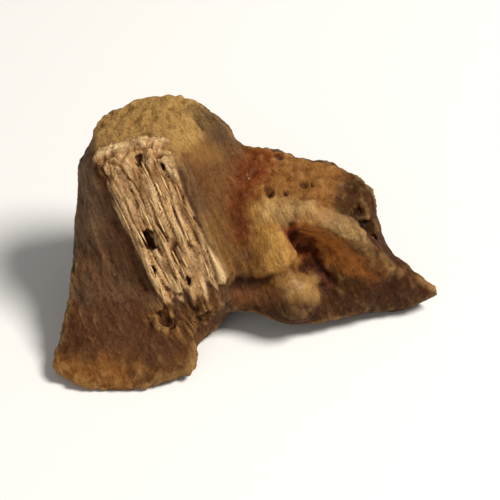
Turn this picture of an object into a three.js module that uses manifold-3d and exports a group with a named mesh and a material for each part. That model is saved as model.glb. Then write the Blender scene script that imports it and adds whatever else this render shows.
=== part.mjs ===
// One chip of dried devil's claw root: a hard brown lump split from the root along its grain.
// Millimetres, +Z up. It lies on its flat trimmed underside, with its split face to the front (-Y).
// The origin is on the surface it lies on, below the middle of its length and depth.
import * as THREE from "three";
import { ConvexHull } from "three/addons/math/ConvexHull.js";
import { ImprovedNoise } from "three/addons/math/ImprovedNoise.js";
import { mergeVertices } from "three/addons/utils/BufferGeometryUtils.js";
import Module from "manifold-3d";

const wasm = await Module();
wasm.setup();
const noise = new ImprovedNoise();
const point = (x, y, z) => new THREE.Vector3(x, y, z);

const EDGE = 0.12; // softness of an edge between two sides of a lump
const BLEND = 0.22; // width over which one lump runs into the next
const STEP = 0.34; // spacing of the grid on which the skin is found
const UNEVEN = { height: 0.14, perMm: 1.1 }; // the lumpy unevenness of dried root
const BARK = { height: 0.16, pitch: 1.45, fromY: 2.4, belowZ: 6.4 }; // lengthwise wrinkles at the back
const FIBRE = { count: 8, radius: 0.28, crest: 0.15, wander: 0.17 }; // coarse fibres of the split face

// The split face: its four corners, seen from the front. The grain runs down it.
const SPLIT_TOP_LEFT = point(-5.2, 0.7, 6.3);
const SPLIT_TOP_RIGHT = point(-2.6, 0.7, 6.7);
const SPLIT_LOW_LEFT = point(-3.05, -1.6, 1.9);
const SPLIT_LOW_RIGHT = point(-0.65, -1.2, 2.4);

// The body is four lumps that run into each other, each given by the corners of its hull.
const BLOCK = [
  SPLIT_TOP_LEFT,
  SPLIT_TOP_RIGHT,
  SPLIT_LOW_LEFT,
  SPLIT_LOW_RIGHT,
  point(-0.5, 2.8, 5.9),
  point(-1.6, 3.4, 6.9),
  point(-3.0, 3.6, 7.2),
  point(-4.7, 3.2, 6.8),
  point(-5.9, 2.0, 5.35),
  point(-6.15, 1.0, 3.4),
  point(-6.0, -0.6, 1.1),
  point(-5.7, -0.6, -0.3),
  point(-2.4, -2.1, -0.3),
  point(-0.6, -0.6, 0.4),
  point(-4.8, 3.3, -0.3),
  point(-1.2, 3.4, 0.2),
  point(-5.2, 3.6, 3.2),
  point(-1.0, 3.9, 3.4),
  point(-3.1, 4.2, 3.6),
];
const FOOT = [
  point(-6.85, -3.2, 0.7),
  point(-5.6, -4.3, 0.2),
  point(-3.85, -4.25, 0.15),
  point(-1.9, -3.5, 0.35),
  point(-1.6, -2.5, 0.9),
  point(-6.25, -1.3, 1.5),
  point(-5.9, 0.5, 3.4),
  point(-3.2, -1.5, 2.2),
  point(-6.5, -2.6, -0.3),
  point(-5.4, -3.9, -0.3),
  point(-3.8, -3.8, -0.3),
  point(-2.1, -3.0, -0.3),
  point(-5.5, 0.0, -0.3),
  point(-2.6, 0.0, -0.3),
];
const WING = [
  point(-0.6, 3.0, 5.5),
  point(0.3, 2.95, 5.3),
  point(2.05, 2.75, 5.0),
  point(3.4, 2.65, 4.65),
  point(4.15, 2.25, 3.95),
  point(4.55, 1.75, 2.9),
  point(4.75, 1.1, 2.0),
  point(0.3, 0.45, 4.55),
  point(1.95, 0.25, 4.4),
  point(3.3, 0.25, 3.7),
  point(4.5, -0.3, 2.3),
  point(-0.3, -1.4, 1.25),
  point(1.1, -1.35, 0.6),
  point(2.4, -1.35, 0.45),
  point(3.75, -0.95, 0.35),
  point(-1.2, 1.5, 4.8),
  point(-1.2, -1.3, 1.4),
  point(0.2, 3.2, 0.6),
  point(3.0, 3.0, 0.6),
  point(1.2, 3.7, 2.8),
  point(3.4, 3.3, 2.6),
];
const TAIL = [
  point(7.1, 0.0, 0.95),
  point(6.95, 0.2, 0.7),
  point(5.8, -0.2, 0.6),
  point(4.9, -0.45, 0.35),
  point(4.5, -0.3, 2.3),
  point(4.6, 1.0, 2.2),
  point(4.7, 1.2, 0.6),
  point(3.2, -0.7, 0.4),
  point(3.2, 1.2, 0.5),
  point(3.2, 0.2, 3.2),
  point(4.0, 0.8, -0.7),
  point(5.3, 0.6, -0.6),
  point(4.3, 1.5, -0.5),
];
// The ridge runs along the wing and down to the tail. The knob and the small fold over it stand out below
// it at the front. The gully is deep between the fold and the ridge; one arm runs down beside the knob, the
// other runs out under the ridge toward the tail.
const RIDGE = [
  { from: point(0.6, 0.55, 4.15), to: point(1.9, 0.25, 4.25), radius: 0.3 },
  { from: point(1.9, 0.25, 4.25), to: point(3.25, 0.15, 3.6), radius: 0.33 },
  { from: point(3.25, 0.15, 3.6), to: point(4.5, -0.2, 2.3), radius: 0.26 },
];
const KNOB = { from: point(0.75, -0.15, 2.5), to: point(1.5, -0.95, 1.45), radius: 0.72 };
const FOLD = { from: point(0.8, -0.06, 3.45), to: point(1.1, -0.41, 2.95), radius: 0.42 };
const GULLY = [
  { from: point(1.5, -0.1, 3.55), to: point(1.95, -0.2, 3.0), radius: 0.34 },
  { from: point(1.95, -0.2, 3.0), to: point(2.5, -0.75, 1.95), radius: 0.42 },
  { from: point(1.95, -0.2, 3.0), to: point(3.5, -0.9, 2.25), radius: 0.45 },
];
const PITS = [
  { at: point(-3.45, -0.5, 3.85), radius: 0.3, stretch: 1.5 },
  { at: point(-3.7, 0.65, 6.25), radius: 0.22, stretch: 1.4 },
  { at: point(-2.85, -1.95, 1.6), radius: 0.24, stretch: 1.6 },
  { at: point(3.75, 0.95, 3.5), radius: 0.27, stretch: 1.7 },
  { at: point(4.0, 0.75, 3.1), radius: 0.22, stretch: 1.5 },
  { at: point(1.0, 2.4, 5.1), radius: 0.2, stretch: 1.2 },
  { at: point(0.6, 0.9, 4.7), radius: 0.18, stretch: 1.2 },
];

const sidesOf = (corners) => new ConvexHull().setFromPoints(corners).faces;
const lumps = [BLOCK, FOOT, WING, TAIL].map(sidesOf);
const grain = SPLIT_LOW_LEFT.clone().sub(SPLIT_TOP_LEFT).normalize();
const across = SPLIT_TOP_RIGHT.clone().sub(SPLIT_TOP_LEFT);
across.addScaledVector(grain, -across.dot(grain)).normalize();
const splitOut = new THREE.Vector3().crossVectors(grain, across).normalize();

// How far a place lies outside a lump: the softened largest of its distances from the lump's flat sides.
function outsideLump(place, sides) {
  let sum = 0;
  for (const side of sides) sum += Math.exp((side.normal.dot(place) - side.constant) / EDGE);
  return EDGE * Math.log(sum);
}

// How far a place lies outside a rod with round ends.
function outsideRod(place, { from, to, radius }) {
  const rod = new THREE.Line3(from, to);
  return rod.closestPointToPoint(place, true, new THREE.Vector3()).distanceTo(place) - radius;
}

const softMin = (values, width) =>
  -width * Math.log(values.reduce((sum, value) => sum + Math.exp(-value / width), 0));
const softMax = (values, width) => -softMin(values.map((value) => -value), width);

// How much the dried skin stands out at a place: uneven all over, and wrinkled along the grain at the back.
function relief(place) {
  const { x, y, z } = place.clone().multiplyScalar(UNEVEN.perMm);
  const uneven = noise.noise(x, y, z);
  const turns = place.dot(across) / BARK.pitch + 0.5 * noise.noise(0.5 * x, 0.5 * y, 0.5 * z);
  const behind = THREE.MathUtils.smoothstep(place.y, BARK.fromY, BARK.fromY + 0.8);
  const atBack = behind * THREE.MathUtils.smoothstep(BARK.belowZ - place.z, 0, 1);
  return UNEVEN.height * uneven + BARK.height * atBack * Math.cos(2 * Math.PI * turns);
}

// Negative inside the chip, positive outside it, in millimetres near its skin.
function outsideChip(place) {
  const parts = lumps.map((sides) => outsideLump(place, sides));
  const rods = [...RIDGE, KNOB, FOLD].map((rod) => outsideRod(place, rod));
  const body = softMin([...parts, ...rods], BLEND);
  const gully = softMin(GULLY.map((rod) => outsideRod(place, rod)), 0.1);
  return softMax([body, -gully], 0.1) - relief(place);
}

// Where the signs at the corners of a grid square alternate, the skin would touch itself along an edge:
// the faintest of the four changes sides, until no such square is left.
function unpinch(value, strides) {
  const squares = [0, 1, 2].map((axis) => [strides[axis], strides[(axis + 1) % 3]]);
  for (let changed = true; changed; ) {
    changed = false;
    for (let i = 0; i < value.length; i++)
      for (const [u, v] of squares) {
        const four = [i, i + u, i + u + v, i + v];
        const inside = four.map((corner) => value[corner] < 0);
        if (inside[0] !== inside[2] || inside[1] !== inside[3] || inside[0] === inside[1]) continue;
        const faintest = four.sort((a, b) => Math.abs(value[a]) - Math.abs(value[b]))[0];
        value[faintest] *= -0.05;
        changed = true;
      }
  }
}

// The skin of the chip: one vertex in each grid cell that it crosses, joined to those of the next cells.
function skin(outside, box, step) {
  const sides = box.getSize(new THREE.Vector3()).toArray();
  const [nx, ny, nz] = sides.map((side) => Math.ceil(side / step) + 1);
  const index = (i, j, k) => i + nx * (j + ny * k);
  const value = new Float64Array(nx * ny * nz);
  const place = new THREE.Vector3();
  for (let k = 0; k < nz; k++)
    for (let j = 0; j < ny; j++)
      for (let i = 0; i < nx; i++)
        value[index(i, j, k)] = outside(place.set(i, j, k).multiplyScalar(step).add(box.min));
  unpinch(value, [1, nx, nx * ny]);
  const corners = [0, 1, 2, 3, 4, 5, 6, 7].map((c) => point(c & 1, (c >> 1) & 1, (c >> 2) & 1));
  const edges = corners.flatMap((_, a) => [1, 2, 4].filter((bit) => !(a & bit)).map((bit) => [a, a | bit]));
  const positions = [];
  const vertexOf = new Int32Array(nx * ny * nz);
  for (let k = 0; k < nz - 1; k++)
    for (let j = 0; j < ny - 1; j++)
      for (let i = 0; i < nx - 1; i++) {
        const at = corners.map(({ x, y, z }) => value[index(i + x, j + y, k + z)]);
        const crossed = edges.filter(([a, b]) => at[a] < 0 !== at[b] < 0);
        if (!crossed.length) continue;
        const sum = new THREE.Vector3();
        for (const [a, b] of crossed)
          sum.add(corners[a].clone().lerp(corners[b], at[a] / (at[a] - at[b])));
        sum.divideScalar(crossed.length).add(place.set(i, j, k));
        vertexOf[index(i, j, k)] = positions.length / 3;
        positions.push(...sum.multiplyScalar(step).add(box.min).toArray());
      }
  const triangles = [];
  const quad = (a, b, c, d, inside) =>
    inside ? triangles.push(a, b, c, a, c, d) : triangles.push(a, c, b, a, d, c);
  for (let k = 1; k < nz - 1; k++)
    for (let j = 1; j < ny - 1; j++)
      for (let i = 1; i < nx - 1; i++) {
        const inside = value[index(i, j, k)] < 0;
        const cell = (x, y, z) => vertexOf[index(i - x, j - y, k - z)];
        if (inside !== value[index(i + 1, j, k)] < 0)
          quad(cell(0, 1, 1), cell(0, 0, 1), cell(0, 0, 0), cell(0, 1, 0), inside);
        if (inside !== value[index(i, j + 1, k)] < 0)
          quad(cell(1, 0, 1), cell(1, 0, 0), cell(0, 0, 0), cell(0, 0, 1), inside);
        if (inside !== value[index(i, j, k + 1)] < 0)
          quad(cell(1, 1, 0), cell(0, 1, 0), cell(0, 0, 0), cell(1, 0, 0), inside);
      }
  const geometry = new THREE.BufferGeometry();
  geometry.setAttribute("position", new THREE.Float32BufferAttribute(positions, 3));
  geometry.setIndex(triangles);
  return geometry;
}

// A closed geometry as a solid that can be joined and cut.
function solidOf(geometry) {
  const bare = geometry.clone();
  bare.deleteAttribute("normal");
  bare.deleteAttribute("uv");
  const merged = mergeVertices(bare, 1e-4);
  return new wasm.Manifold(
    new wasm.Mesh({
      numProp: 3,
      vertProperties: merged.attributes.position.array,
      triVerts: new Uint32Array(merged.index.array),
    }),
  );
}

// One coarse fibre: a six-sided strand that wanders down the split face and breaks off near its ends.
function fibre(number) {
  const vary = (kind, part = 0) => noise.noise(number * 3.7 + 0.5, part * 4.3 + 0.4, kind * 9.1 + 0.3);
  const share = 0.05 + (0.9 * number) / (FIBRE.count - 1);
  const top = SPLIT_TOP_LEFT.clone().lerp(SPLIT_TOP_RIGHT, share);
  const low = SPLIT_LOW_LEFT.clone().lerp(SPLIT_LOW_RIGHT, share);
  const radius = FIBRE.radius * (1 + 0.6 * vary(1));
  const starts = 0.04 + Math.max(0, 0.15 * vary(2));
  const ends = 1.03 + 0.2 * vary(3);
  const stops = [0, 0.2, 0.4, 0.6, 0.8, 1].map((part) =>
    top
      .clone()
      .lerp(low, starts + (ends - starts) * part)
      .addScaledVector(across, FIBRE.wander * vary(4, part))
      .addScaledVector(splitOut, FIBRE.crest - radius + FIBRE.wander * vary(5, part)),
  );
  const section = Array.from({ length: 6 }, (_, corner) => {
    const turn = (corner * Math.PI) / 3;
    return new THREE.Vector2(radius * Math.cos(turn), radius * Math.sin(turn));
  });
  const path = new THREE.CatmullRomCurve3(stops);
  return solidOf(new THREE.ExtrudeGeometry(new THREE.Shape(section), { steps: 10, extrudePath: path }));
}

// A pit: a small hole drawn out along the grain.
function pit({ at, radius, stretch }) {
  const along = new THREE.Quaternion().setFromUnitVectors(point(0, 0, 1), grain);
  const hole = new THREE.IcosahedronGeometry(radius, 1).scale(1, 1, stretch);
  return solidOf(hole.applyQuaternion(along).translate(at.x, at.y, at.z));
}

const box = new THREE.Box3().setFromPoints([...BLOCK, ...FOOT, ...WING, ...TAIL]);
let chip = solidOf(skin(outsideChip, box.expandByScalar(2 * STEP), STEP));
for (let number = 0; number < FIBRE.count; number++) chip = chip.add(fibre(number));
for (const hole of PITS) chip = chip.subtract(pit(hole));
chip = chip.subtract(solidOf(new THREE.BoxGeometry(30, 30, 10).translate(0, 0, -5)));

const made = chip.getMesh();
const geometry = new THREE.BufferGeometry();
geometry.setAttribute("position", new THREE.BufferAttribute(made.vertProperties, 3));
geometry.setIndex(new THREE.BufferAttribute(made.triVerts, 1));
geometry.computeBoundingBox();
const middle = geometry.boundingBox.getCenter(new THREE.Vector3());
geometry.translate(-middle.x, -middle.y, 0);
const driedRoot = new THREE.MeshStandardMaterial({ color: 0x8a6038, roughness: 0.8, metalness: 0 });
const mesh = new THREE.Mesh(geometry, driedRoot);
mesh.name = "root_chip";
const group = new THREE.Group();
group.add(mesh);
export default group;
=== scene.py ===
"""A chip of dried devil's claw root, split along its grain, lying on a pale floor."""
import math

import bmesh
import bpy
import numpy as np
from mathutils import Matrix, Vector, noise


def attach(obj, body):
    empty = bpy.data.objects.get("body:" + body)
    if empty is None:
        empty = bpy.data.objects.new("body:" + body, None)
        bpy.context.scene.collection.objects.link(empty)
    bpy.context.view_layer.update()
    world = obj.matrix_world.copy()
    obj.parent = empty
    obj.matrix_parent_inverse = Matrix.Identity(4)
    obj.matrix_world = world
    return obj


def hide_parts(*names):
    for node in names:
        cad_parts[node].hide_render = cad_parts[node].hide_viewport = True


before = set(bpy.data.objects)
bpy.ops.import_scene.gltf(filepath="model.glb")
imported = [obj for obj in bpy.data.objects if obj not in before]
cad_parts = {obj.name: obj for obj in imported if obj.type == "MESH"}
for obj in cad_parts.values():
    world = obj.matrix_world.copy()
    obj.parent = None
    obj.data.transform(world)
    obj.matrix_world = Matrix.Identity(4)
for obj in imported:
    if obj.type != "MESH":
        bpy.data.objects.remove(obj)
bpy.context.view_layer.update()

MM = 0.001  # the chip is worked in millimetres and scaled to metres at the end
VOXEL = 0.06  # grid of the fine skin
EDGE = 0.09  # softness of an edge between two sides of a lump
BLEND = 0.16  # width over which one lump runs into the next
HOLE_BLEND = 0.05  # the same for the hollows
LYING = 0.04  # the underside lies on the floor up to this height
SPIKE = 0.06  # how far a vertex may stand out from those next to it


# Places on the chip, in millimetres

SPLIT_TOP_LEFT = np.array((-5.15, 0.61, 6.3))
SPLIT_TOP_RIGHT = np.array((-2.55, 0.61, 6.7))
SPLIT_LOW_LEFT = np.array((-3.0, -1.69, 1.9))
SPLIT_LOW_RIGHT = np.array((-0.6, -1.29, 2.4))

# The four lumps of the body, by the corners of their hulls
BLOCK = np.array([
    SPLIT_TOP_LEFT, SPLIT_TOP_RIGHT, SPLIT_LOW_LEFT, SPLIT_LOW_RIGHT,
    (-0.45, 2.71, 5.9), (-1.55, 3.31, 6.9), (-2.95, 3.51, 7.2), (-4.65, 3.11, 6.8),
    (-5.85, 1.91, 5.35), (-6.1, 0.91, 3.4), (-5.95, -0.69, 1.1), (-5.65, -0.69, -0.3),
    (-2.35, -2.19, -0.3), (-0.55, -0.69, 0.4), (-4.75, 3.21, -0.3), (-1.15, 3.31, 0.2),
    (-5.15, 3.51, 3.2), (-0.95, 3.81, 3.4), (-3.05, 4.11, 3.6),
])
FOOT = np.array([
    (-6.8, -3.29, 0.7), (-5.55, -4.39, 0.2), (-3.8, -4.34, 0.15), (-1.85, -3.59, 0.35),
    (-1.55, -2.59, 0.9), (-6.2, -1.39, 1.5), (-5.85, 0.41, 3.4), (-3.15, -1.59, 2.2),
    (-6.45, -2.69, -0.3), (-5.35, -3.99, -0.3), (-3.75, -3.89, -0.3), (-2.05, -3.09, -0.3),
    (-5.45, -0.09, -0.3), (-2.55, -0.09, -0.3),
])
WING = np.array([
    (-0.55, 2.91, 5.5), (0.35, 2.86, 5.3), (2.1, 2.66, 5.0), (3.45, 2.56, 4.65),
    (4.2, 2.16, 3.95), (4.6, 1.66, 2.9), (4.8, 1.01, 2.0), (0.35, 0.36, 4.55),
    (2.0, 0.16, 4.4), (3.35, 0.16, 3.7), (4.55, -0.39, 2.3), (-0.25, -1.49, 1.25),
    (1.15, -1.44, 0.6), (2.45, -1.44, 0.45), (3.8, -1.04, 0.35), (-1.15, 1.41, 4.8),
    (-1.15, -1.39, 1.4), (0.25, 3.11, 0.6), (3.05, 2.91, 0.6), (1.25, 3.61, 2.8),
    (3.45, 3.21, 2.6),
])
TAIL = np.array([
    (7.15, -0.09, 0.95), (7.0, 0.11, 0.7), (5.85, -0.29, 0.6), (4.95, -0.54, 0.35),
    (4.55, -0.39, 2.3), (4.65, 0.91, 2.2), (4.75, 1.11, 0.6), (3.25, -0.79, 0.4),
    (3.25, 1.11, 0.5), (3.25, 0.11, 3.2), (4.05, 0.71, -0.7), (5.35, 0.51, -0.6),
    (4.35, 1.41, -0.5),
])
# The ridge along the wing, the knob and the fold below it, and the gully beside the fold
RIDGE = np.array([(0.65, 0.46, 4.15), (1.95, 0.16, 4.25), (3.3, 0.06, 3.6), (4.55, -0.29, 2.3)])
KNOB = np.array([(0.8, -0.24, 2.5), (1.55, -1.04, 1.45)])
FOLD = np.array([(0.85, -0.15, 3.45), (1.15, -0.5, 2.95)])
GULLY = np.array([
    (1.55, -0.19, 3.55), (2.0, -0.29, 3.0), (2.55, -0.84, 1.95), (3.55, -0.99, 2.25),
])
RODS = (
    (RIDGE[0:2], 0.3), (RIDGE[1:3], 0.33), (RIDGE[2:4], 0.26), (KNOB, 0.72), (FOLD, 0.42),
)
GULLY_RODS = ((GULLY[0:2], 0.34), (GULLY[1:3], 0.42), (GULLY[1::2], 0.45))

# Lines on its front as they are seen from there: to the right and up, in millimetres
LOOK_DOWN = math.radians(42.0)
SEEN_UP = np.array((0.0, math.sin(LOOK_DOWN), math.cos(LOOK_DOWN)))
SEEN_FROM = np.array((0.0, -math.cos(LOOK_DOWN), math.sin(LOOK_DOWN)))
PALE_FLANK = np.array([(-5.6, 4.6), (-5.4, 2.8)])
CREASE = np.array([(-5.05, 4.9), (-4.5, 3.2), (-3.85, 1.4), (-3.2, 0.1)])
FRAYED = np.array([(-3.1, -0.2), (-2.2, -0.5), (-1.5, 0.3)])
CHUNK = np.array([(-1.95, 1.9), (-1.4, 1.0)])
GREY = np.array([(-1.5, 6.7), (-0.8, 6.0)])
GOLD = np.array([(-2.3, 5.4), (-1.3, 5.5)])
STREAKED = np.array([(-1.2, 3.0), (-0.5, 1.4)])
FURROW = np.array([(0.2, 5.2), (-0.2, 4.4), (-0.3, 3.5), (-0.25, 2.7)])
AMBER = np.array([(0.45, 3.3), (0.6, 2.6), (0.85, 2.0), (1.0, 1.7)])
UNDER_FOLD = np.array([(-0.4, 0.92), (0.2, 0.98), (0.75, 1.08), (1.15, 1.25), (1.65, 1.5)])
UNDER_CREASE = np.array([(-0.3, 0.5), (0.8, 0.55)])
KNOB_TOP = np.array([(1.5, 0.9), (2.0, 0.8)])
CAVITY = np.array([(1.35, 2.75), (1.95, 2.05), (2.55, 1.2)])
GULLY_END = np.array([(2.1, 1.65), (2.4, 1.25), (2.7, 0.95)])
SLOPE = np.array([(1.7, 2.75), (2.4, 2.3), (3.1, 1.9), (4.4, 1.25)])
# Small pits, and pale spots painted in as glints there: to the right, up, radius
POCKS = (
    (-3.21, 1.41, 0.11), (-2.05, 1.05, 0.1), (-4.48, 3.7, 0.11), (-2.86, 4.8, 0.09),
    (1.16, 4.0, 0.06), (2.1, 4.3, 0.05),
)
PAINTED_GLINTS = (
    (0.0, 4.53, 0.07), (0.45, 4.25, 0.05), (-0.54, 2.75, 0.06), (-2.14, 6.63, 0.08),
    (-1.7, 5.92, 0.06), (-4.46, 1.27, 0.05), (-5.49, 1.68, 0.05), (3.2, 2.8, 0.06),
)


def unit(vector):
    return vector / np.linalg.norm(vector)


# The split face: along its fibres, across them and out of it
GRAIN = unit(SPLIT_LOW_LEFT - SPLIT_TOP_LEFT)
ACROSS = SPLIT_TOP_RIGHT - SPLIT_TOP_LEFT
ACROSS = unit(ACROSS - ACROSS.dot(GRAIN) * GRAIN)
OUT = unit(np.cross(GRAIN, ACROSS))
SPLIT_LENGTH = (SPLIT_LOW_LEFT - SPLIT_TOP_LEFT) @ GRAIN
SPLIT_WIDTH = (SPLIT_TOP_RIGHT - SPLIT_TOP_LEFT) @ ACROSS
# The larger pits: middle, radius, and how far they are drawn out along the grain
PITS = (
    ((-3.4, -0.59, 3.85), 0.3, 1.5), ((-3.65, 0.56, 6.25), 0.22, 1.4),
    ((-2.8, -2.04, 1.6), 0.24, 1.6), ((3.8, 0.86, 3.5), 0.27, 1.7),
    ((4.05, 0.66, 3.1), 0.22, 1.5), ((1.05, 2.31, 5.1), 0.2, 1.2), ((0.65, 0.81, 4.7), 0.18, 1.2),
)
PIT_RODS = [
    (np.array(middle) + np.outer((-1, 1), radius * (drawn - 1) * GRAIN), 0.95 * radius - 0.04)
    for middle, radius, drawn in PITS
]


# Formulas over many places at once

def ease(value, start, end):
    """From 0 at start to 1 at end, with soft ends."""
    t = np.clip((value - start) / (end - start), 0.0, 1.0)
    return t * t * (3.0 - 2.0 * t)


def ripple(places, size, shift=0.0):
    """Smooth noise from about -1 to 1, with features of that size."""
    return np.array([noise.noise(Vector(p)) for p in np.asarray(places) / size + shift])


def billow(places, size, shift=0.0, steep=2.2):
    """Round crests with sharp grooves between them, from 0 in a groove to about 1."""
    return np.minimum(1.0, steep * np.abs(ripple(places, size, shift)))


def cells(places, size, shift=0.0):
    """Scattered points: how far the nearest is, how much nearer than the second, and its own chance."""
    found = [noise.voronoi(Vector(p)) for p in np.asarray(places) / size + shift]
    first = np.array([distances[0] for distances, _ in found])
    second = np.array([distances[1] for distances, _ in found])
    number = np.array([points[0].dot((12.99, 78.23, 37.72)) for _, points in found])
    return first, second - first, np.modf(np.abs(np.sin(number) * 437.5853))[0]


def away(places, line):
    """The distance of each place from a line through a few points."""
    best = np.full(len(places), 1e9)
    for a, b in zip(line[:-1], line[1:]):
        run = b - a
        t = np.clip((places - a) @ run / run.dot(run), 0.0, 1.0)
        best = np.minimum(best, np.linalg.norm(places - a - t[:, None] * run, axis=1))
    return best


def on_split(places):
    """Each place from the upper left corner of the split face: across, along the grain, and out."""
    from_corner = places - SPLIT_TOP_LEFT
    return from_corner @ ACROSS, from_corner @ GRAIN, from_corner @ OUT


# The form of the body

def sides_of(corners):
    """The flat sides of the hull of a few corners: their outward directions and distances."""
    work = bmesh.new()
    for corner in corners:
        work.verts.new(corner)
    bmesh.ops.convex_hull(work, input=work.verts)
    out = np.array([face.normal for face in work.faces])
    far = np.array([face.normal.dot(face.verts[0].co) for face in work.faces])
    work.free()
    turn = np.where(out @ corners.mean(axis=0) > far, -1.0, 1.0)
    return out * turn[:, None], far * turn


LUMPS = [sides_of(corners) for corners in (BLOCK, FOOT, WING, TAIL)]


def outside_lump(places, sides):
    """How far each place is outside a lump, and the way out of it."""
    out, far = sides
    over = (places @ out.T - far) / EDGE
    most = over.max(axis=1)
    weight = np.exp(over - most[:, None])
    total = weight.sum(axis=1)
    return EDGE * (most + np.log(total)), (weight @ out) / total[:, None]


def outside_rod(places, ends, radius):
    """The same for a round rod between two ends."""
    run = ends[1] - ends[0]
    t = np.clip((places - ends[0]) @ run / run.dot(run), 0.0, 1.0)
    off = places - ends[0] - t[:, None] * run
    length = np.linalg.norm(off, axis=1)
    return length - radius, off / np.maximum(length, 1e-6)[:, None]


def soft_least(found, width):
    """The softened least of several distances, and the way out for it."""
    value = np.array([v for v, _ in found])
    least = value.min(axis=0)
    weight = np.exp((least - value) / width)
    total = weight.sum(axis=0)
    way = sum(w[:, None] * g for w, (_, g) in zip(weight, found)) / total[:, None]
    return least - width * np.log(total), way


def outside_body(places):
    """How far each place is outside the body of the chip, and the way out of it."""
    found = [outside_lump(places, sides) for sides in LUMPS]
    found += [outside_rod(places, ends, radius) for ends, radius in RODS]
    body, way = soft_least(found, BLEND)
    wobble = 0.1 * ripple(places, 0.45, 30.0)
    holes = [outside_rod(places, ends, radius + wobble) for ends, radius in GULLY_RODS]
    ragged = wobble + 0.16 * ripple(places, 0.25, 35.0)
    holes += [outside_rod(places, ends, radius + ragged) for ends, radius in PIT_RODS]
    hole, hole_way = soft_least(holes, HOLE_BLEND)
    share = 1.0 / (1.0 + np.exp(np.clip((body + hole) / EDGE, -60, 60)))
    carved = np.maximum(body, -hole) + EDGE * np.log1p(np.exp(-np.abs(body + hole) / EDGE))
    return carved, way * (1 - share)[:, None] - hole_way * share[:, None]


# The fine skin

def evaluated_mesh(holder):
    """What an object's modifiers make of it, as a plain mesh."""
    graph = bpy.context.evaluated_depsgraph_get()
    return bpy.data.meshes.new_from_object(holder.evaluated_get(graph))


def largest_island(work):
    """The vertices of the largest part of a mesh that hangs together."""
    left, largest = set(work.verts), set()
    while left:
        todo = [left.pop()]
        island = set(todo)
        while todo:
            for edge in todo.pop().link_edges:
                fresh = left.intersection(edge.verts)
                left -= fresh
                island |= fresh
                todo.extend(fresh)
        largest = max(largest, island, key=len)
    return largest


def without_strays(mesh):
    """Merges what the grid has doubled, and drops the crumbs it has left beside the body."""
    work = bmesh.new()
    work.from_mesh(mesh)
    bmesh.ops.remove_doubles(work, verts=work.verts, dist=0.2 * VOXEL)
    kept = largest_island(work)
    strays = [vert for vert in work.verts if vert not in kept]
    bmesh.ops.delete(work, geom=strays, context="VERTS")
    work.to_mesh(mesh)
    work.free()


def fine_skin(node):
    """A copy of the node's mesh, in millimetres, on an even fine grid."""
    work = bmesh.new()
    work.from_mesh(node.data)
    bmesh.ops.remove_doubles(work, verts=work.verts, dist=1e-7)
    bmesh.ops.scale(work, vec=(1 / MM,) * 3, verts=work.verts)
    rough = bpy.data.meshes.new("rough")
    work.to_mesh(rough)
    work.free()
    holder = bpy.data.objects.new("root_chip_fine", rough)
    bpy.context.scene.collection.objects.link(holder)
    remesh = holder.modifiers.new("even_grid", "REMESH")
    remesh.mode = "VOXEL"
    remesh.voxel_size = VOXEL
    even = evaluated_mesh(holder)
    holder.modifiers.remove(remesh)
    holder.data = even
    bpy.data.meshes.remove(rough)
    even.name = "root_chip_fine"
    without_strays(even)
    return holder


class Skin:
    """The vertices of a mesh as one array, with what the formulas ask about them."""

    def __init__(self, mesh):
        self.mesh = mesh
        self.places = np.empty(len(mesh.vertices) * 3)
        mesh.vertices.foreach_get("co", self.places)
        self.places = self.places.reshape(-1, 3)
        edges = np.empty(len(mesh.edges) * 2, dtype=np.int32)
        mesh.edges.foreach_get("vertices", edges)
        self.edges = edges.reshape(-1, 2)
        self.count = np.bincount(edges, minlength=len(self.places)).astype(float)

    def neighbours(self, values):
        """The mean of the values at the vertices next to each one."""
        values = np.asarray(values, float)
        flat = values.reshape(len(values), -1)
        mean = np.empty_like(flat)
        a, b = self.edges[:, 0], self.edges[:, 1]
        for column in range(flat.shape[1]):
            mean[:, column] = np.bincount(a, flat[b, column], len(flat))
            mean[:, column] += np.bincount(b, flat[a, column], len(flat))
        return (mean / self.count[:, None]).reshape(values.shape)

    def smoothed(self, values, passes):
        for _ in range(passes):
            values = 0.5 * values + 0.5 * self.neighbours(values)
        return values

    def tame(self, passes=3):
        """Draws single vertices that stand out back among their neighbours, and none below the floor."""
        for _ in range(passes):
            mean = self.neighbours(self.places)
            stray = np.linalg.norm(self.places - mean, axis=1) > SPIKE
            self.places = np.where(stray[:, None], mean, self.places)
        self.places[:, 2] = np.maximum(self.places[:, 2], 0.0)

    def normals(self):
        """Writes the places to the mesh and gives the direction of the surface at each."""
        self.mesh.vertices.foreach_set("co", self.places.ravel())
        self.mesh.update()
        normals = np.empty(len(self.places) * 3)
        self.mesh.vertex_normals.foreach_get("vector", normals)
        return normals.reshape(-1, 3)

    def store(self, name, values):
        layer = self.mesh.attributes.new(name, "FLOAT", "POINT")
        layer.data.foreach_set("value", np.clip(values, 0.0, 1.0).astype(np.float32))


def settle(skin, passes=8):
    """Takes the facets out: moves the skin onto the smooth body, but keeps its broad unevenness."""
    lying = skin.places[:, 2] < LYING
    lying &= skin.smoothed(np.where(lying, 1.0, 0.0), 40) > 0.3
    free = np.where(lying, 0.0, 1.0)
    level = outside_body(skin.places)[0] * free
    level = skin.smoothed(level, 60) / np.maximum(skin.smoothed(free, 60), 1e-3)
    level = np.clip(level, -0.3, 0.3)
    for _ in range(passes):
        value, way = outside_body(skin.places)
        step = (level - value) / np.maximum(np.sum(way * way, axis=1), 0.2)
        step = np.clip(step, -0.2, 0.2) * free
        skin.places = skin.places + step[:, None] * way
        eased = 0.7 * skin.places + 0.3 * skin.neighbours(skin.places)
        skin.places = np.where(lying[:, None], skin.places, eased)
    skin.tame()


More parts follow.
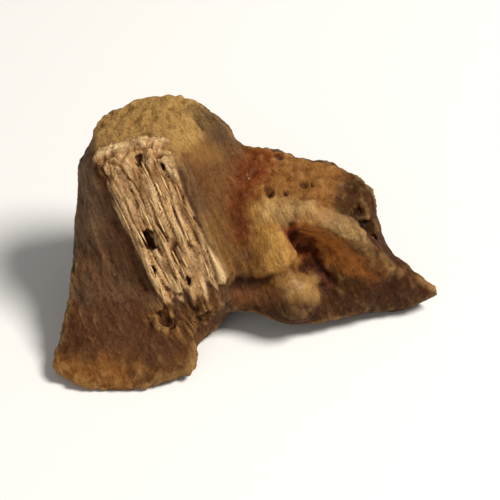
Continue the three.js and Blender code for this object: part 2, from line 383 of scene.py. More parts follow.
def spots(seen, places):
    """How much each place seen from the front lies in one of some small spots drawn out on the grain."""
    along = unit(np.array((GRAIN[0], GRAIN.dot(SEEN_UP))))
    inside = np.zeros(len(seen))
    for right, up, radius in places:
        off = seen - (right, up)
        down = off @ along
        aside = off @ (along[1], -along[0])
        inside = np.maximum(inside, ease(np.hypot(aside, down / 2.4) / radius, 1.1, 0.4))
    return inside


def regions(places, normals):
    """How much each place belongs to each part of the chip's surface, from 0 to 1."""
    x, y, z = places.T
    u, w, h = on_split(places)
    ragged = 0.22 * ripple(places, 0.6, 3.1) + 0.12 * ripple(places, 0.2, 3.7)
    split = 0.2 * ripple(np.column_stack((u / 0.25, w / 1.6, h / 0.4)), 1.0, 5.5)
    seen = np.column_stack((x, places @ SEEN_UP))
    a, b = seen.T
    facing = ease(normals @ SEEN_FROM, -0.1, 0.25)
    warped = seen + 0.6 * np.column_stack((ragged, ripple(places, 0.5, 31.0) * 0.2))
    part = {}

    def near(line, width):
        return facing * np.exp(-((away(warped, line) / width) ** 2))

    def most(*names):
        return np.max([part[name] for name in names], axis=0)

    # The back and the split face
    bark = ease(normals[:, 1] + 0.35 * normals[:, 0] * (x > 2), 0.1, 0.5) * ease(y, 0.8, 1.8)
    inner = 1 - bark
    fibres = ease(normals @ OUT, 0.0, 0.45) * ease(np.abs(h), 0.85, 0.5)
    fibres *= ease(u + 0.5 * split - 0.06 * w, -0.28, -0.04)
    fibres *= ease(u + 1.5 * split, SPLIT_WIDTH + 0.05, SPLIT_WIDTH - 0.45)
    fibres *= ease(w + 2.0 * split, -0.25, 0.05)
    fibres *= ease(w + 3.0 * split, SPLIT_LENGTH + 0.5, SPLIT_LENGTH - 0.2)
    ledge = np.exp(-(((w + 0.12 + 0.3 * split) / 0.25) ** 2)) * ease(np.abs(h), 0.7, 0.35)
    ledge *= ease(u, -0.4, -0.1) * ease(u, SPLIT_WIDTH + 0.2, SPLIT_WIDTH - 0.1)
    part["bark"] = bark * ease(z + ragged, 6.9, 6.2)
    part["fibres"] = fibres
    part["ledge"] = ledge
    part["chunk"] = near(CHUNK, 0.45) * fibres
    part["frayed"] = near(FRAYED, 0.5)
    part["loose"] = fibres * ease(w, 0.9, 1.2) * ease(w, SPLIT_LENGTH + 0.1, SPLIT_LENGTH - 0.2)

    # The cut end, the left flank and the foot
    cap = ease(normals[:, 2], -0.2, 0.8) * ease(z + ragged, 5.0, 6.4)
    cap *= ease(x + 1.5 * ragged, -0.3, -2.5)
    cap *= ease(b + 1.2 * ragged - 0.5 * np.maximum(a + 1.9, 0.0), 4.7, 6.0)
    part["cap"] = cap * (1 - fibres)
    part["grey"] = 0.7 * near(GREY, 0.85) * inner
    part["pale flank"] = 0.75 * near(PALE_FLANK, 0.8)
    # painted shade: the crease along the left edge of the split face is coloured dark, as well as
    # pressed in
    part["crease"] = near(CREASE, 0.18) * ease(ripple(places, 0.6, 34.0), -0.9, 0.3)
    part["low"] = ease(b + 1.5 * ragged, 1.2, -0.6) * ease(x, -0.9, -1.9) * facing
    part["foot"] = ease(z + 0.8 * ragged, 1.4, 0.3) * ease(x, -0.9, -1.9) * ease(y, 0.0, -1.6)
    part["lip"] = part["foot"] * ease(x + 1.5 * ragged, -2.9, -4.4)

    # The valley right of the split face, and the wing
    valley = ease(u, SPLIT_WIDTH, SPLIT_WIDTH + 0.4) * ease(x, 0.5, -0.4)
    part["valley"] = valley * ease(z, 1.4, 2.8) * inner
    part["gold"] = 0.6 * near(GOLD, 0.75) * inner
    part["streaked"] = 0.8 * near(STREAKED, 0.6) * inner
    part["red"] = 0.75 * near(FURROW[:2] + (0.15, 0.0), 0.75) * inner
    part["furrow"] = 0.72 * near(FURROW, 0.7) * inner
    part["wing"] = ease(x + 1.5 * ragged, -0.6, 0.5) * inner
    # the far right of the wing is darker brown, partly its own tone and partly painted shade
    part["far wing"] = part["wing"] * ease(a + 1.2 * ragged - 0.4 * (b - 4), 1.9, 3.9)
    # the top of the ridge is pale cream, partly its own tone and partly a painted highlight
    ridge = np.exp(-((away(places, RIDGE) / 0.5) ** 2)) * ease(x + ragged, 4.6, 3.4)
    part["ridge"] = ridge * ease(normals[:, 2], -0.1, 0.3)
    part["tail"] = ease(x + 1.5 * ragged - 0.5 * (z - 2), 3.0, 4.4)

    # The fold, the knob and the gully
    part["amber"] = near(AMBER, 0.6)
    part["knob"] = near(KNOB_TOP, 0.55)
    part["bulge"] = near(KNOB_TOP, 0.42)
    part["pinch"] = near(UNDER_FOLD, 0.25)
    # painted shadow: a dark band under the fold, to the left of the knob
    part["shadow under fold"] = 0.5 * near(UNDER_FOLD, 0.22) * ease(a + 2.0 * ragged, 1.6, 0.3)
    part["under crease"] = 0.8 * near(UNDER_CREASE, 0.45)
    part["cavity"] = near(CAVITY, 0.33)
    # painted shade: the lower left wall of the gully is coloured darker
    part["gully end"] = near(GULLY_END, 0.3)
    part["slope"] = near(SLOPE, 0.55) * (0.45 + 0.45 * ease(a, 4.4, 2.8))
    # painted shade: the front is coloured darker low down, under the fold and the knob
    below = ease(b + 0.8 * ragged - 0.2 * ease(a, 1.4, 0.7), 1.0, 0.2)
    part["below"] = facing * below * ease(x, -0.9, -0.3)

    # What is small, the painted shade on the faces that turn down, and the feel of the surface
    # painted shade: the pits and pocks are coloured dark inside
    in_pit = np.min([outside_rod(places, ends, radius)[0] for ends, radius in PIT_RODS], axis=0)
    part["pock"] = facing * spots(0.4 * seen + 0.6 * warped, POCKS)
    part["pit"] = np.maximum(part["pock"], ease(in_pit + 0.5 * ragged, 0.08, -0.08))
    # painted highlights: small pale spots that stand in for glints
    painted_glints = facing * spots(0.5 * seen + 0.5 * warped, PAINTED_GLINTS)
    part["painted glint"] = painted_glints * ease(ripple(places, 0.09, 33.0), 0.0, 0.2)
    # the faces that turn down: kept smooth, and coloured darker as painted shade
    part["under"] = ease(normals[:, 2], -0.35, -0.75)
    coarse = most("fibres", "cap", "ledge", "wing", "bark", "foot", "cavity", "frayed")
    part["coarse"] = coarse * (1 - 0.7 * most("knob", "amber"))
    waxy = np.maximum(most("amber", "knob", "slope", "ridge"), 0.3 * part["wing"])
    part["waxy"] = waxy * (1 - fibres) * (1 - part["cavity"])
    return part


def raise_relief(skin):
    """Moves the skin out and in where the dried root is fibrous, granular, pitted or wrinkled."""
    places = skin.places
    normals = skin.normals()
    part = regions(places, normals)
    proud = np.sum((places - skin.smoothed(places, 16)) * normals, axis=1)
    part["edge"] = ease(proud, 0.01, 0.035) * (1 - part["fibres"]) * (1 - part["ledge"])

    u, w, h = on_split(places)
    u = u + 0.1 * ripple(np.column_stack((u / 3, w / 1.2, h / 3)), 1.0, 9.1)

    def drawn(length):
        """The places, for noise that is drawn out along the grain."""
        return np.column_stack((u, w / length, h))

    # Splintered fibres
    _, wide_gap, wide_step = cells(drawn(9.0), 0.5, 40.0)
    _, slim_gap, slim_step = cells(drawn(7.0), 0.24, 43.0)
    bundles = billow(drawn(12.0), 0.4, 1.3, 7.0)
    threads = billow(drawn(5.0), 0.11, 4.4)
    broken = ease(ripple(drawn(3.0), 0.32, 6.1), 0.3, 0.4)
    slim_slits = 0.7 * ease(slim_gap, 0.16, 0.0) * ease(slim_step, 0.3, 0.6)
    slits = np.maximum(ease(wide_gap, 0.14, 0.0), slim_slits)
    slits = np.maximum(slits, 0.6 * (1 - bundles)) * (1 - 0.6 * part["chunk"])
    wide_step = wide_step + part["chunk"] * (0.8 - wide_step)
    fibrous = skin.smoothed(0.16 * (wide_step - 0.5) + 0.08 * (slim_step - 0.5), 1)
    fibrous += 0.04 * threads + 0.04 * bundles - 0.08 * slits - 0.07 * broken
    fibrous += 0.04 * ripple(drawn(2.0), 0.3, 7.0) + 0.02 * ripple(places, 0.1, 8.0)
    # painted shade: the slits and breaks between the fibres are coloured darker, where shade falls in
    # them
    part["groove"] = np.maximum(part["fibres"], part["frayed"]) * np.maximum(slits, 0.5 * broken)

    # Granules and meal
    big, _, big_step = cells(drawn(1.8), 0.5, 2.0)
    small, _, small_step = cells(drawn(1.4), 0.24, 6.0)
    blocky = 0.13 * (big_step - 0.5) + 0.07 * (small_step - 0.5) + 0.08 * (0.45 - small)
    blocky = skin.smoothed(blocky, 1) + 0.03 * ripple(places, 0.12, 4.5)
    granular = 0.1 * (0.45 - big) + 0.08 * (0.45 - small) + 0.1 * (billow(places, 0.6, 4.0) - 0.5)
    pocks = -0.13 * ease(cells(places, 0.95, 23.0)[0], 0.24, 0.1)
    mealy = 0.08 * ripple(places, 0.7, 50.0) + 0.06 * ripple(places, 0.32, 51.0)
    mealy += 0.03 * ripple(places, 0.14, 52.0) + 0.05 * (billow(places, 0.45, 53.0) - 0.5)
    lumps = 0.16 * (0.5 - cells(places, 0.34, 9.0)[0]) + 0.06 * ripple(places, 0.14, 9.5) + 0.1

    # Bark, wrinkled flanks, waxy tissue and the rim of the foot
    bark = 0.2 * (billow(drawn(7.0), 0.8, 7.7, 1.8) - 0.5)
    bark += 0.1 * (billow(drawn(5.0), 0.36, 12.0) - 0.5) + 0.04 * ripple(places, 0.3, 11.0)
    bark += 0.02 * ripple(drawn(0.5), 0.2, 11.3) + 0.02 * ripple(places, 0.1, 11.5)
    wrinkled = 0.08 * ripple(drawn(3.0), 0.55, 13.0) + 0.05 * ripple(drawn(5.0), 0.22, 14.0)
    wrinkled += 0.03 * billow(drawn(7.0), 0.13, 14.2) + 0.02 * ripple(places, 0.12, 14.5)
    waxy = 0.08 * ripple(places, 0.5, 20.0) + 0.05 * ripple(drawn(2.0), 0.2, 20.5)
    waxy += 0.015 * ripple(places, 0.1, 20.7)
    rim = 0.1 * np.sin(np.clip((places[:, 2] - 0.1) / 0.75, 0, 1) * math.pi)
    rim += 0.11 * ripple(places, 0.36, 15.0) + 0.04 * ripple(places, 0.13, 16.0)

    move = wrinkled.copy()
    for name, relief in (
        ("wing", mealy + 0.2 * granular + pocks),
        ("tail", 0.08 * ripple(places, 0.5, 17.0) + 0.05 * ripple(drawn(2.0), 0.17, 18.0)),
        ("below", wrinkled),
        ("slope", 0.06 * ripple(drawn(3.0), 0.25, 19.5) + 0.04 * ripple(places, 0.14, 18.5)),
        ("ridge", 0.8 * mealy),
        ("amber", waxy),
        ("knob", waxy),
        ("cavity", 0.12 * ripple(places, 0.3, 21.0) + 0.04 * ripple(places, 0.12, 21.5) - 0.05),
        ("cap", 0.6 * blocky + 0.4 * granular + 0.4 * mealy),
        ("bark", bark),
        ("foot", rim),
        ("frayed", fibrous + 0.02),
        ("fibres", fibrous),
        ("ledge", lumps),
    ):
        move += part[name] * (relief - move)
    move *= 1 - 0.7 * part["pit"]
    move -= 0.08 * part["crease"] + 0.2 * part["pinch"] + 0.18 * part["pock"]
    move += 0.13 * part["bulge"]
    chipped = 0.04 + 0.1 * ripple(places, 0.4, 36.0) + 0.07 * ripple(places, 0.17, 37.0)
    move -= part["edge"] * chipped
    move *= 1 - part["under"]
    skin.places = places + move[:, None] * normals
    skin.tame()
    return part


ONLY_RELIEF = ("chunk", "bulge", "pinch", "pock")  # parts that no material asks for
chip = fine_skin(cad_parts["root_chip"])
skin = Skin(chip.data)
settle(skin)
part = raise_relief(skin)
sunk = np.sum((skin.smoothed(skin.places, 40) - skin.places) * skin.normals(), axis=1)
part["sunk"] = 0.5 + sunk / 0.16
for name, values in part.items():
    if name not in ONLY_RELIEF:
        skin.store(name, values)
skin.places *= MM
skin.normals()
chip.data.shade_smooth()


# Materials

def tint(red, green, blue):
    """A colour given as it looks on a screen, 0 to 255, as the renderer wants it."""
    shares = (red / 255, green / 255, blue / 255)
    linear = [c / 12.92 if c <= 0.04045 else ((c + 0.055) / 1.055) ** 2.4 for c in shares]
    return (*linear, 1.0)


def add(tree, kind, **settings):
    made = tree.nodes.new(kind)
    for name, value in settings.items():
        setattr(made, name, value)
    return made


def feed(tree, socket, value):
    """Links an output to a socket, or sets the socket to a plain value."""
    if isinstance(value, bpy.types.NodeSocket):
        tree.links.new(value, socket)
    else:
        socket.default_value = value


def feed_all(tree, node, values):
    for name, value in values.items():
        feed(tree, node.inputs[name], value)


def maths(tree, operation, first, second=0.0, third=0.0, clamp=False):
    made = add(tree, "ShaderNodeMath", operation=operation, use_clamp=clamp)
    for socket, value in zip(made.inputs, (first, second, third)):
        feed(tree, socket, value)
    return made.outputs[0]


def mixed(tree, share, first, second, blend="MIX"):
    made = add(tree, "ShaderNodeMix", data_type="RGBA", blend_type=blend)
    for place, value in ((0, share), (6, first), (7, second)):
        feed(tree, made.inputs[place], value)
    return made.outputs[2]


def ramp(tree, value, start, end):
    """From 0 at start to 1 at end, with soft ends."""
    made = add(tree, "ShaderNodeMapRange", interpolation_type="SMOOTHSTEP")
    feed_all(tree, made, {"Value": value, "From Min": start, "From Max": end})
    return made.outputs["Result"]


def mask(tree, name):
    return add(tree, "ShaderNodeAttribute", attribute_name=name).outputs["Fac"]


def clouds(tree, where, size, detail=3.0, rough=0.6, warp=0.0):
    """Noise with features of that size, in millimetres."""
    made = add(tree, "ShaderNodeTexNoise")
    feed_all(tree, made, {
        "Vector": where, "Scale": 1 / (size * MM), "Detail": detail, "Roughness": rough,
        "Distortion": warp,
    })
    return made.outputs["Fac"]


def sockets(tree, direction, kinds):
    """Names a group's inputs or outputs."""
    for name, kind in kinds.items():
        tree.interface.new_socket(name, in_out=direction, socket_type="NodeSocket" + kind)


def patch_group():
    """Lays one colour over another where a mask says, with a ragged edge."""
    tree = bpy.data.node_groups.new("patch", "ShaderNodeTree")
    sockets(tree, "INPUT", {
        "Under": "Color", "Over": "Color", "Mask": "Float", "Ragged": "Float", "Noise": "Float",
    })
    sockets(tree, "OUTPUT", {"Color": "Color"})
    start = add(tree, "NodeGroupInput").outputs
    swing = maths(tree, "SUBTRACT", start["Noise"], 0.5)
    swing = maths(tree, "MULTIPLY", swing, start["Ragged"])
    share = ramp(tree, maths(tree, "ADD", start["Mask"], swing), 0.2, 0.8)
    end = add(tree, "NodeGroupOutput")
    feed(tree, end.inputs["Color"], mixed(tree, share, start["Under"], start["Over"]))
    return tree


def grain_group():
    """Noise drawn out along the grain, at two widths, and plain noise at four sizes."""
    tree = bpy.data.node_groups.new("grain", "ShaderNodeTree")
    sockets(tree, "INPUT", {"Where": "Vector"})
    streaks = {"Streaks": 0.22, "Fine streaks": 0.07}
    plain = {
        "Clouds": (1.6, 3.0), "Blotches": (0.45, 4.0, 0.65), "Stains": (0.8, 5.0, 0.7, 0.6),
        "Grit": (0.09, 3.0, 0.6),
    }
    sockets(tree, "OUTPUT", {name: "Float" for name in (*streaks, *plain)})
    where = add(tree, "NodeGroupInput").outputs["Where"]
    end = add(tree, "NodeGroupOutput")
    to_grain = Matrix((ACROSS, OUT, GRAIN)).to_4x4().to_euler()
    for name, size in streaks.items():
        turned = add(tree, "ShaderNodeMapping", vector_type="POINT")
        feed_all(tree, turned, {"Vector": where, "Rotation": to_grain})
        drawn = add(tree, "ShaderNodeMapping", vector_type="POINT")
        feed_all(tree, drawn, {"Vector": turned.outputs["Vector"], "Scale": (1.0, 1.0, 0.12)})
        feed(tree, end.inputs[name], clouds(tree, drawn.outputs["Vector"], size, 4.0, 0.6, 0.4))
    for name, noise_settings in plain.items():
        feed(tree, end.inputs[name], clouds(tree, where, *noise_settings))
    return tree


PATCH = patch_group()
GRAIN_NOISE = grain_group()
SCATTER = {"Subsurface Weight": 0.08, "Subsurface Radius": (1.0, 0.45, 0.18)}


def placed(tree, group, **values):
    made = add(tree, "ShaderNodeGroup", node_tree=group)
    feed_all(tree, made, values)
    return made.outputs


def new_material(name):
    """A material with its tree, its shader and the grain noise in it."""
    material = bpy.data.materials.new(name)
    material.use_nodes = True
    tree = material.node_tree
    where = add(tree, "ShaderNodeTexCoord").outputs["Object"]
    grain = placed(tree, GRAIN_NOISE, Where=where)
    return material, tree, tree.nodes["Principled BSDF"], where, grain


def root_material():
    material, tree, shader, where, grain = new_material("dried_root")

    def between(first, second, by="Blotches"):
        return mixed(tree, grain[by], tint(*first), tint(*second))

    def above(name, start, end, strength=1.0):
        return maths(tree, "MULTIPLY", ramp(tree, grain[name], start, end), strength)

    def summed(weights):
        """The noises added up, each by its weight."""
        total = 0.0
        for name, weight in weights.items():
            total = maths(tree, "MULTIPLY_ADD", grain[name], weight, total)
        return total

    flank = mixed(tree, above("Clouds", 0.35, 0.65), tint(76, 54, 37), tint(104, 72, 44))
    flank = mixed(tree, above("Streaks", 0.4, 0.7, 0.5), flank, tint(58, 38, 24))
    groove = mask(tree, "groove")
    fibre = mixed(tree, above("Streaks", 0.3, 0.7), tint(225, 191, 142), tint(191, 150, 98))
    fibre = mixed(tree, above("Fine streaks", 0.55, 0.75, 0.7), fibre, tint(140, 94, 48))
    # painted shade: the fibres go darker in their slits
    fibre = mixed(tree, groove, fibre, tint(144, 100, 58))
    frayed = mixed(tree, groove, between((128, 88, 46), (92, 60, 32)), tint(60, 36, 18))
    # The parts of the surface, from the lowest layer to the topmost: colour, and how ragged its edge is
    layers = (
        ("pale flank", between((126, 95, 68), (92, 68, 49), "Streaks"), 0.6),
        ("valley", between((124, 83, 42), (80, 52, 28), "Streaks"), 0.7),
        ("gold", between((150, 107, 54), (116, 80, 40), "Streaks"), 0.7),
        ("streaked", between((142, 102, 53), (76, 49, 25), "Streaks"), 0.7),
        ("wing", between((150, 102, 50), (114, 74, 33)), 0.8),
        # partly painted shade on the far right of the wing
        ("far wing", between((79, 48, 19), (54, 32, 12)), 0.6),
        ("red", between((144, 73, 24), (108, 53, 17), "Streaks"), 0.6),
        ("furrow", between((118, 57, 15), (82, 40, 11), "Streaks"), 0.5),
        ("tail", between((78, 42, 15), (54, 28, 11), "Clouds"), 0.9),
        # painted shade low on the front
        ("below", between((80, 46, 22), (54, 32, 16)), 0.9),
        ("under crease", between((118, 73, 38), (86, 52, 27)), 0.9),
        ("slope", between((184, 113, 44), (122, 70, 28), "Streaks"), 0.8),
        ("amber", between((186, 138, 68), (158, 112, 52)), 0.6),
        ("knob", between((158, 120, 68), (130, 94, 50)), 0.6),
        ("cavity", between((136, 68, 28), (96, 47, 19)), 0.6),
        # painted shade on the lower left wall of the gully
        ("gully end", between((98, 55, 29), (72, 41, 22)), 0.6),
        # partly a painted highlight on the crest of the ridge
        ("ridge", between((198, 161, 106), (168, 130, 79)), 0.6),
        ("cap", between((184, 146, 86), (144, 108, 58)), 0.7),
        ("grey", between((98, 74, 47), (66, 48, 30), "Streaks"), 0.8),
        ("bark", between((98, 72, 48), (58, 41, 29), "Streaks"), 0.7),
        ("low", between((92, 56, 28), (68, 40, 20), "Clouds"), 1.0),
        ("foot", between((108, 70, 36), (74, 47, 24)), 0.9),
        ("lip", between((148, 98, 46), (98, 60, 27)), 0.9),
        ("frayed", frayed, 1.0),
        ("fibres", fibre, 0.7),
        ("ledge", between((240, 211, 161), (208, 173, 122)), 0.8),
        # painted shade in the crease
        ("crease", tint(92, 58, 30), 0.5),
        # painted shadow under the fold
        ("shadow under fold", tint(88, 54, 28), 0.4),
        # painted highlights: pale spots in place of glints
        ("painted glint", tint(166, 130, 84), 0.4),
        # painted shade inside the pits
        ("pit", tint(70, 42, 20), 0.4),
        # painted shade on the faces that turn down
        ("under", between((84, 58, 36), (60, 42, 28)), 0.6),
    )
    uneven = summed({"Blotches": 0.5, "Grit": 0.3, "Streaks": 0.4})
    uneven = maths(tree, "MULTIPLY_ADD", uneven, 1.6, -0.46)
    colour = flank
    for name, over, ragged in layers:
        colour = placed(
            tree, PATCH, Under=colour, Over=over, Mask=mask(tree, name), Ragged=ragged, Noise=uneven
        )["Color"]
    worn = maths(tree, "MULTIPLY", mask(tree, "edge"), ramp(tree, uneven, 0.4, 0.6))
    colour = mixed(tree, maths(tree, "MULTIPLY", worn, 0.5), colour, tint(166, 120, 68))

    # Streaks, stains, painted shade in the hollows, pale crests and grit over all of it
    sunk = mask(tree, "sunk")
    # painted shade: the hollows of the surface, found from its shape, are darkened
    hollows = maths(tree, "MULTIPLY", ramp(tree, sunk, 0.52, 0.95), 0.75)
    crests = maths(tree, "MULTIPLY", ramp(tree, sunk, 0.48, 0.05), 0.25)
    for share, wash, blend in (
        (above("Fine streaks", 0.42, 0.66, 0.4), tint(168, 126, 92), "MULTIPLY"),
        (above("Stains", 0.55, 0.72, 0.55), tint(168, 128, 92), "MULTIPLY"),
        (hollows, tint(112, 62, 34), "MULTIPLY"),
        (crests, tint(180, 142, 86), "SCREEN"),
        (above("Grit", 0.56, 0.70, 0.5), tint(120, 82, 56), "MULTIPLY"),
        (above("Grit", 0.40, 0.28, 0.2), tint(140, 104, 62), "SCREEN"),
    ):
        colour = mixed(tree, share, colour, mixed(tree, 1.0, colour, wash, blend))

    coarse = mask(tree, "coarse")
    smooth_parts = maths(tree, "MULTIPLY_ADD", above("Stains", 0.35, 0.65), 0.22, 0.46)
    rough = maths(tree, "MULTIPLY_ADD", coarse, 0.28, smooth_parts)
    glints = add(tree, "ShaderNodeTexVoronoi")
    feed_all(tree, glints, {"Vector": where, "Scale": 1 / (0.5 * MM)})
    glint = maths(tree, "MULTIPLY", ramp(tree, glints.outputs["Distance"], 0.2, 0.12), 0.4)
    bump = add(tree, "ShaderNodeBump")
    height = summed({
        "Fine streaks": maths(tree, "MULTIPLY_ADD", coarse, 0.3, 0.6),
        "Grit": maths(tree, "MULTIPLY_ADD", coarse, 0.5, 0.25),
        "Blotches": 0.8,
        "Streaks": 0.7,
    })
    feed_all(tree, bump, {"Strength": 0.8, "Distance": 0.09 * MM, "Height": height})
    feed_all(tree, shader, {
        "Base Color": colour,
        "Roughness": maths(tree, "SUBTRACT", rough, glint, clamp=True),
        "Normal": bump.outputs["Normal"],
        "Specular IOR Level": 0.1,
        "Coat Weight": maths(tree, "MULTIPLY", mask(tree, "waxy"), 0.14),
        "Coat Roughness": 0.32,
        "Subsurface Scale": 0.35 * MM,
        **SCATTER,
    })
    return material


def loose_material(name, pale, dark):
    """The finish of what lies loose: one tone of the wood or another."""
    material, tree, shader, _, grain = new_material(name)
    shade = ramp(tree, grain["Blotches"], 0.35, 0.65)
    feed_all(tree, shader, {
        "Base Color": mixed(tree, shade, tint(*pale), tint(*dark)),
        "Roughness": 0.6,
        "Subsurface Scale": 0.2 * MM,
        **SCATTER,
    })
    return material


chip.data.materials.clear()
chip.data.materials.append(root_material())
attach(chip, "root")
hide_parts("root_chip")


# What lies loose on the chip

def scatter_tree(name, shape):
    """A tree that strews small pieces over a surface where a stored mask is high, lying one way."""
    tree = bpy.data.node_groups.new(name, "GeometryNodeTree")
    sockets(tree, "INPUT", {
        "Geometry": "Geometry", "Mask": "String", "Above": "Float", "Density": "Float",
        "Thinnest": "Vector", "Thickest": "Vector", "Along": "Vector", "Tilt": "Vector",
        "Seed": "Int", "Material": "Material",
    })
    sockets(tree, "OUTPUT", {"Geometry": "Geometry"})
    start = add(tree, "NodeGroupInput").outputs
    stored = add(tree, "GeometryNodeInputNamedAttribute", data_type="FLOAT")
    feed(tree, stored.inputs["Name"], start["Mask"])
    chosen = add(tree, "FunctionNodeCompare", data_type="FLOAT", operation="GREATER_THAN")
    feed(tree, chosen.inputs[0], stored.outputs["Attribute"])
    feed(tree, chosen.inputs[1], start["Above"])
    points = add(tree, "GeometryNodeDistributePointsOnFaces", distribute_method="RANDOM")
    feed_all(tree, points, {
        "Mesh": start["Geometry"], "Selection": chosen.outputs["Result"],
        "Density": start["Density"], "Seed": start["Seed"],
    })

    size = add(tree, "FunctionNodeRandomValue", data_type="FLOAT_VECTOR")
    feed(tree, size.inputs[0], start["Thinnest"])
    feed(tree, size.inputs[1], start["Thickest"])
    feed(tree, size.inputs["Seed"], start["Seed"])
    aligned = add(tree, "FunctionNodeAlignRotationToVector", axis="Z")
    feed(tree, aligned.inputs["Vector"], start["Along"])
    swing = add(tree, "FunctionNodeRandomValue", data_type="FLOAT_VECTOR")
    back = add(tree, "ShaderNodeVectorMath", operation="SCALE")
    feed(tree, back.inputs[0], start["Tilt"])
    feed(tree, back.inputs["Scale"], -1.0)
    feed(tree, swing.inputs[0], back.outputs["Vector"])
    feed(tree, swing.inputs[1], start["Tilt"])
    feed(tree, swing.inputs["Seed"], 5)
    turned = add(tree, "FunctionNodeEulerToRotation")
    feed(tree, turned.inputs[0], swing.outputs[0])
    rotation = add(tree, "FunctionNodeRotateRotation", rotation_space="LOCAL")
    feed(tree, rotation.inputs[0], aligned.outputs[0])
    feed(tree, rotation.inputs[1], turned.outputs[0])

    strewn = add(tree, "GeometryNodeInstanceOnPoints")
    feed_all(tree, strewn, {
        "Points": points.outputs["Points"], "Instance": shape(tree),
        "Rotation": rotation.outputs[0], "Scale": size.outputs[0],
    })
    real = add(tree, "GeometryNodeRealizeInstances")
    feed(tree, real.inputs["Geometry"], strewn.outputs["Instances"])
    soft = add(tree, "GeometryNodeSetShadeSmooth")
    feed(tree, soft.inputs["Geometry"], real.outputs["Geometry"])
    dressed = add(tree, "GeometryNodeSetMaterial")
    feed_all(tree, dressed, {"Geometry": soft.outputs["Geometry"], "Material": start["Material"]})
    end = add(tree, "NodeGroupOutput")
    feed(tree, end.inputs["Geometry"], dressed.outputs["Geometry"])
    return tree


def strand(tree):
    """A slim bowed strand along Z, one unit long and thick, tapered to both ends."""
    bow = add(tree, "GeometryNodeCurveQuadraticBezier")
    feed_all(tree, bow, {
        "Resolution": 6, "Start": (0.0, 0.0, -0.5), "Middle": (0.6, 0.3, 0.05), "End": (0.0, 0.0, 0.5),
    })
    along = add(tree, "GeometryNodeSplineParameter").outputs["Factor"]
    off_middle = maths(tree, "ABSOLUTE", maths(tree, "MULTIPLY_ADD", along, 2.0, -1.0))
    thinned = maths(tree, "MULTIPLY", maths(tree, "POWER", off_middle, 3.0), 0.75)
    thin = add(tree, "GeometryNodeSetCurveRadius")
    feed_all(tree, thin, {
        "Curve": bow.outputs["Curve"], "Radius": maths(tree, "SUBTRACT", 1.0, thinned),
    })
    ring = add(tree, "GeometryNodeCurvePrimitiveCircle", mode="RADIUS")
    feed_all(tree, ring, {"Resolution": 5, "Radius": 0.5})
    tube = add(tree, "GeometryNodeCurveToMesh")
    feed_all(tree, tube, {
        "Curve": thin.outputs["Curve"], "Profile Curve": ring.outputs["Curve"], "Fill Caps": True,
    })
    return tube.outputs["Mesh"]


def crumb(tree):
    """A small lump, one unit across."""
    lump = add(tree, "GeometryNodeMeshIcoSphere")
    feed_all(tree, lump, {"Radius": 0.5, "Subdivisions": 1})
    return lump.outputs["Mesh"]


def strew(name, shape, **values):
    """Runs a scatter tree on the chip and keeps what it makes as a plain mesh."""
    tree = scatter_tree(name, shape)
    holder = bpy.data.objects.new(name, chip.data)
    bpy.context.scene.collection.objects.link(holder)
    spread = holder.modifiers.new("strew", "NODES")
    spread.node_group = tree
    for item in tree.interface.items_tree:
        if item.in_out == "INPUT" and item.name in values:
            spread[item.identifier] = values[item.name]
    made = evaluated_mesh(holder)
    holder.modifiers.remove(spread)
    made.name = name
    holder.data = made
    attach(holder, "root")


PER_MM2 = 1 / MM**2
strew(
    "loose_fibres", strand,
    Material=loose_material("fibre", (214, 178, 126), (160, 114, 64)),
    Mask="loose", Above=0.9, Density=3.0 * PER_MM2, Seed=11,
    Thinnest=(0.04 * MM, 0.04 * MM, 0.3 * MM), Thickest=(0.09 * MM, 0.08 * MM, 0.9 * MM),
    Along=tuple(GRAIN), Tilt=(0.12, 0.12, 3.1),
)
strew(
    "crumbs", crumb,
    Material=loose_material("crumb", (196, 160, 108), (140, 100, 56)),
    Mask="ledge", Above=0.5, Density=40.0 * PER_MM2, Seed=12,
    Thinnest=(0.03 * MM,) * 3, Thickest=(0.12 * MM, 0.09 * MM, 0.09 * MM),
    Along=(0.0, 0.0, 1.0), Tilt=(3.1, 3.1, 3.1),
)


# Floor, light and camera

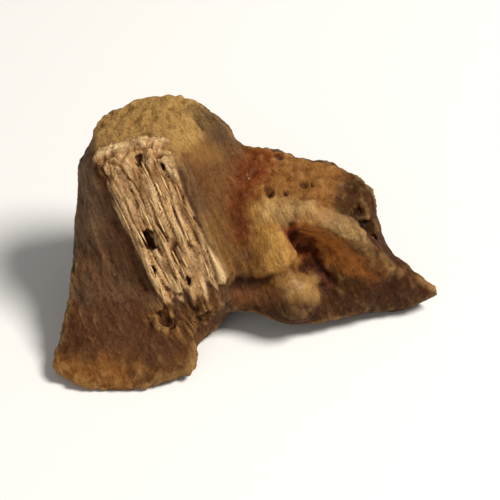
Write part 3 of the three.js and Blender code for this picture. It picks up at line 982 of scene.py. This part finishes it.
def pale_floor(half_side):
    corners = [(x * half_side, y * half_side, 0) for x, y in ((-1, -1), (1, -1), (1, 1), (-1, 1))]
    mesh = bpy.data.meshes.new("floor")
    mesh.from_pydata(corners, [], [(0, 1, 2, 3)])
    floor = bpy.data.objects.new("floor", mesh)
    bpy.context.scene.collection.objects.link(floor)
    material = bpy.data.materials.new("pale_floor")
    material.use_nodes = True
    shader = material.node_tree.nodes["Principled BSDF"]
    shader.inputs["Base Color"].default_value = (0.82, 0.81, 0.79, 1.0)
    shader.inputs["Roughness"].default_value = 0.75
    mesh.materials.append(material)


def soft_light(name, place, aim, size, power, colour):
    lamp = bpy.data.lights.new(name, "AREA")
    lamp.shape = "DISK"
    lamp.size = size
    lamp.energy = power
    lamp.color = colour
    holder = bpy.data.objects.new(name, lamp)
    holder.location = place
    holder.rotation_euler = (Vector(aim) - Vector(place)).to_track_quat("-Z", "Y").to_euler()
    bpy.context.scene.collection.objects.link(holder)


def even_sky(colour, strength):
    world = bpy.data.worlds.new("studio")
    world.use_nodes = True
    background = world.node_tree.nodes["Background"]
    background.inputs["Color"].default_value = colour
    background.inputs["Strength"].default_value = strength
    bpy.context.scene.world = world


def camera(elevation, lens, frame_width, aim):
    """A camera that looks along +Y and down, with frame_width of the scene across its picture."""
    eye = bpy.data.cameras.new("camera")
    eye.lens = lens
    eye.sensor_width = 36.0
    eye.clip_start = 0.001
    distance = frame_width * lens / eye.sensor_width
    angle = math.radians(elevation)
    holder = bpy.data.objects.new("camera", eye)
    holder.location = Vector(aim) + distance * Vector((0.0, -math.cos(angle), math.sin(angle)))
    holder.rotation_euler = (math.radians(90.0 - elevation), 0.0, 0.0)
    bpy.context.scene.collection.objects.link(holder)
    bpy.context.scene.camera = holder


pale_floor(half_side=0.6)
MIDDLE = (0, 0, 0.003)
soft_light("key_light", (0.10, -0.02, 0.15), MIDDLE, size=0.07, power=0.42, colour=(1.0, 0.97, 0.92))
soft_light("front_fill", (-0.08, -0.14, 0.10), MIDDLE, size=0.14, power=0.05, colour=(1.0, 0.98, 0.96))
even_sky((1.0, 0.98, 0.95, 1.0), 0.22)
bpy.context.scene.view_settings.view_transform = "Standard"
camera(elevation=42.0, lens=180.0, frame_width=0.0168, aim=(0.0, -0.0002, 0.0030))
